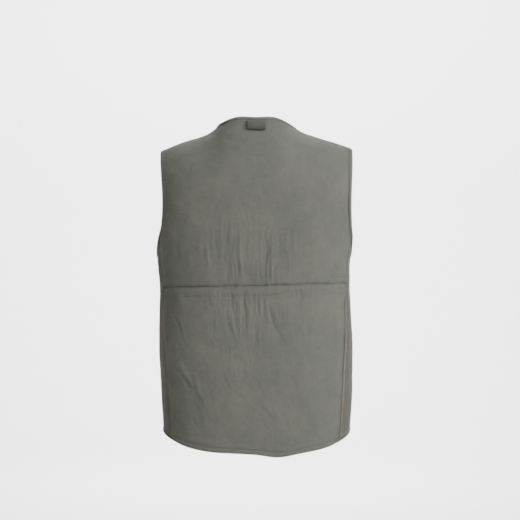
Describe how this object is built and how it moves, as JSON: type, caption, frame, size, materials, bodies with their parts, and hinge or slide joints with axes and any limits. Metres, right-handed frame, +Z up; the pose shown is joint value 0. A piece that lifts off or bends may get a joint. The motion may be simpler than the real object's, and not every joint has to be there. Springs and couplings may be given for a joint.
{
  "type": "hunting vest",
  "caption": "Sleeveless collarless vest in brushed cotton with a gathered waist seam, edge bands and a front zip, open as worn.",
  "frame": {"origin": "midway between the shoulders, level with the points where the shoulder seams meet the neck", "axes": "+Z up, -Y out of the vest's front, +X towards the wearer's left"},
  "size_m": [0.4512, 0.2712, 0.7577],
  "materials": {
    "cloth": "brushed cotton twill",
    "band": "folded cotton band",
    "welt": "flat cotton strip",
    "tape": "woven tape",
    "metal": "dark satin metal"
  },
  "bodies": {
    "vest": {"armhole_band_left": "band", "armhole_band_right": "band", "back_lower": "cloth", "back_upper": "cloth", "front_left": "cloth", "front_right": "cloth", "hanger_loop": "band", "neck_band": "band", "side_welt_left": "welt", "side_welt_right": "welt", "zip_box": "metal", "zip_chain": "metal", "zip_slider": "metal", "zip_tape_left": "tape", "zip_tape_right": "tape"},
    "pull": {"zip_pull": "metal"}
  },
  "joints": [
    {"name": "zip_pull_hinge", "type": "hinge", "parent": "vest", "child": "pull", "pos_m": [0, -0.12551, -0.12606], "axis": [-1, 0, 0], "range_deg": [0, 150]}
  ]
}
